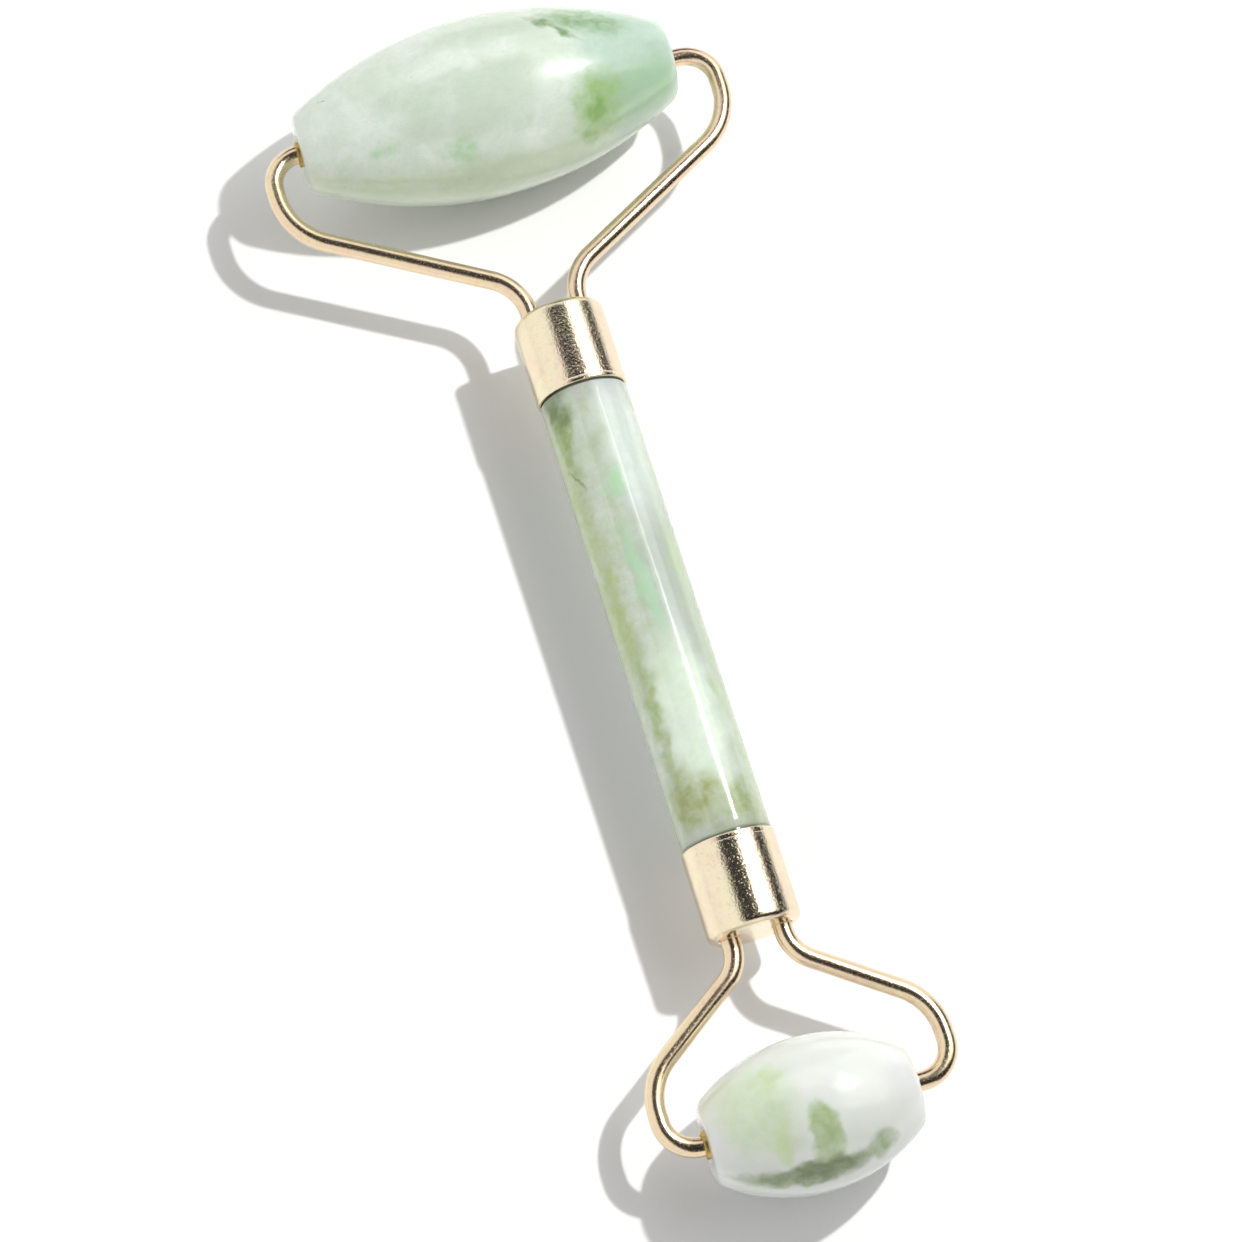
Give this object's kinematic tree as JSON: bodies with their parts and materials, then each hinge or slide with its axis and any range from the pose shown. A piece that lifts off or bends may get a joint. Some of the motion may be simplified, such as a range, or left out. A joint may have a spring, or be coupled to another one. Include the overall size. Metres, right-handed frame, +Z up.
{
  "type": "jade face roller",
  "caption": "Hand-held facial massage roller: a jade handle between two wire forks, each carrying a free-turning jade barrel.",
  "frame": {"origin": "middle of the roller's footprint on the surface it lies on, under the centre of its bounding box", "axes": "+Z up, +Y along the handle towards the large stone, +X along the stones' axes to the right"},
  "size_m": [0.0566, 0.1446, 0.0215],
  "materials": {
    "large_stone_jade": "polished, translucent, milky mint with green veins",
    "small_stone_jade": "polished, translucent, white with moss green patches",
    "handle_jade": "polished, translucent, pale green with olive clouds",
    "ferrule_plating": "pale gold plating, satin, finely pitted",
    "wire_plating": "pale gold plating, satin",
    "bush_brass": "turned brass, dull",
    "cement": "cured clear cement"
  },
  "bodies": {
    "frame": {"handle_stone": "handle_jade", "upper_ferrule": "ferrule_plating", "lower_ferrule": "ferrule_plating", "upper_adhesive_plug": "cement", "lower_adhesive_plug": "cement", "large_fork_wire": "wire_plating", "small_fork_wire": "wire_plating"},
    "large_roller": {"large_roller_stone": "large_stone_jade", "large_roller_bush_left": "bush_brass", "large_roller_bush_right": "bush_brass"},
    "small_roller": {"small_roller_stone": "small_stone_jade", "small_roller_bush_left": "bush_brass", "small_roller_bush_right": "bush_brass"}
  },
  "joints": [
    {"name": "large_roller_spin", "type": "hinge", "parent": "frame", "child": "large_roller", "pos_m": [0, 0.06157, 0.01075], "axis": [1, 0, 0], "continuous": true},
    {"name": "small_roller_spin", "type": "hinge", "parent": "frame", "child": "small_roller", "pos_m": [0, -0.06381, 0.0085], "axis": [1, 0, 0], "continuous": true}
  ]
}
